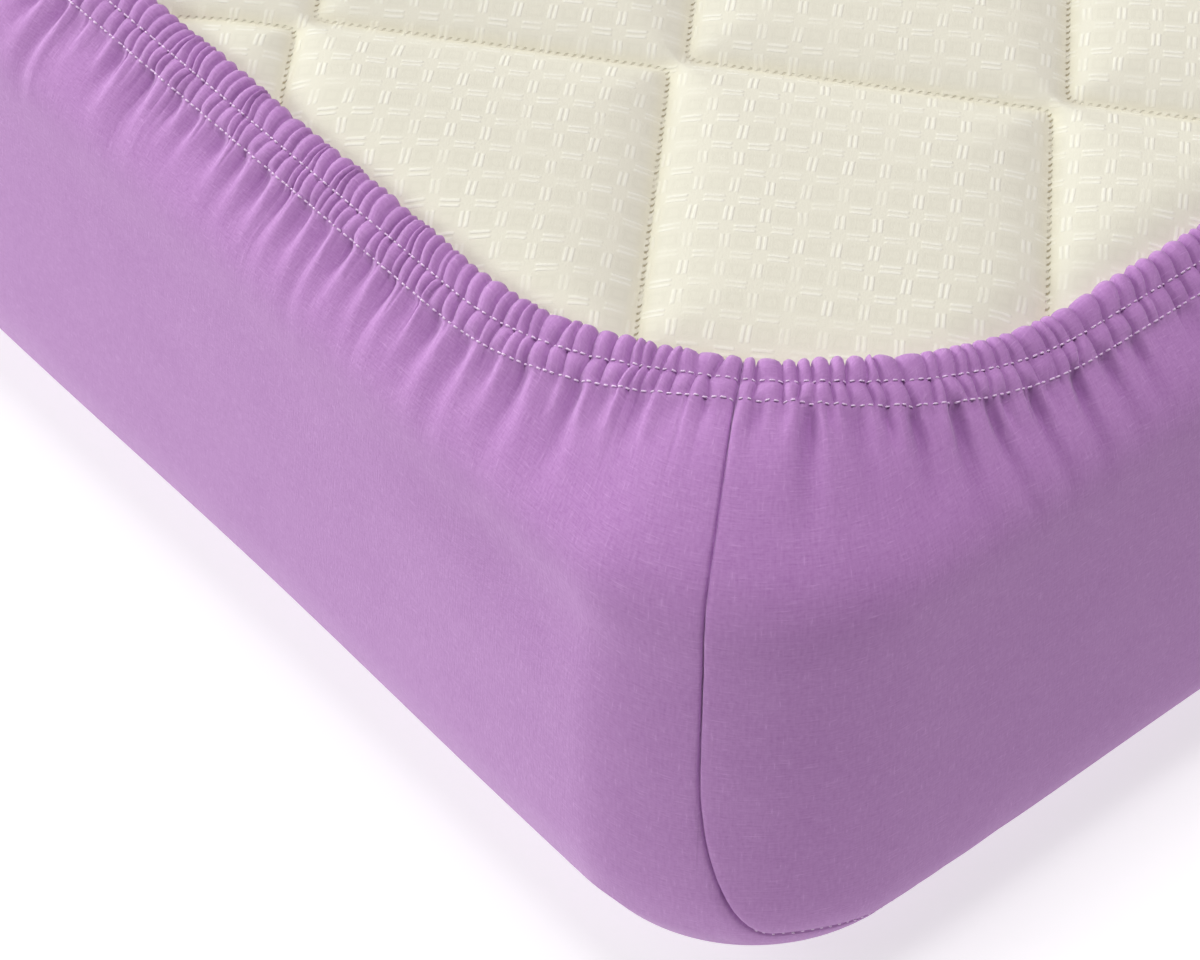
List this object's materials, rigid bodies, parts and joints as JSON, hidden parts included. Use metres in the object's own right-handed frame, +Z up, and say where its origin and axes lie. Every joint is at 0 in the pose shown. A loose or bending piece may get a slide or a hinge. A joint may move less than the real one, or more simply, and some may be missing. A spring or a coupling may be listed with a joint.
{
  "type": "fitted sheet on a single mattress",
  "caption": "Plain fitted cotton sheet with a gathered elastic edge and sewn corner seams, stretched over a quilted mattress that lies face down.",
  "frame": {"origin": "centre of the flat underside, on the surface that the mattress lies on", "axes": "+X along the mattress's length, +Y across its width, +Z up through its thickness"},
  "size_m": [2.007, 0.907, 0.1892],
  "materials": {
    "sheet_cotton": "matt plain-woven cotton in lilac",
    "mattress_ticking": "cream jacquard ticking, diamond quilted"
  },
  "bodies": {
    "root": {"sheet_main_panel": "sheet_cotton", "sheet_end_panel_near": "sheet_cotton", "sheet_end_panel_far": "sheet_cotton", "mattress": "mattress_ticking"}
  },
  "joints": []
}
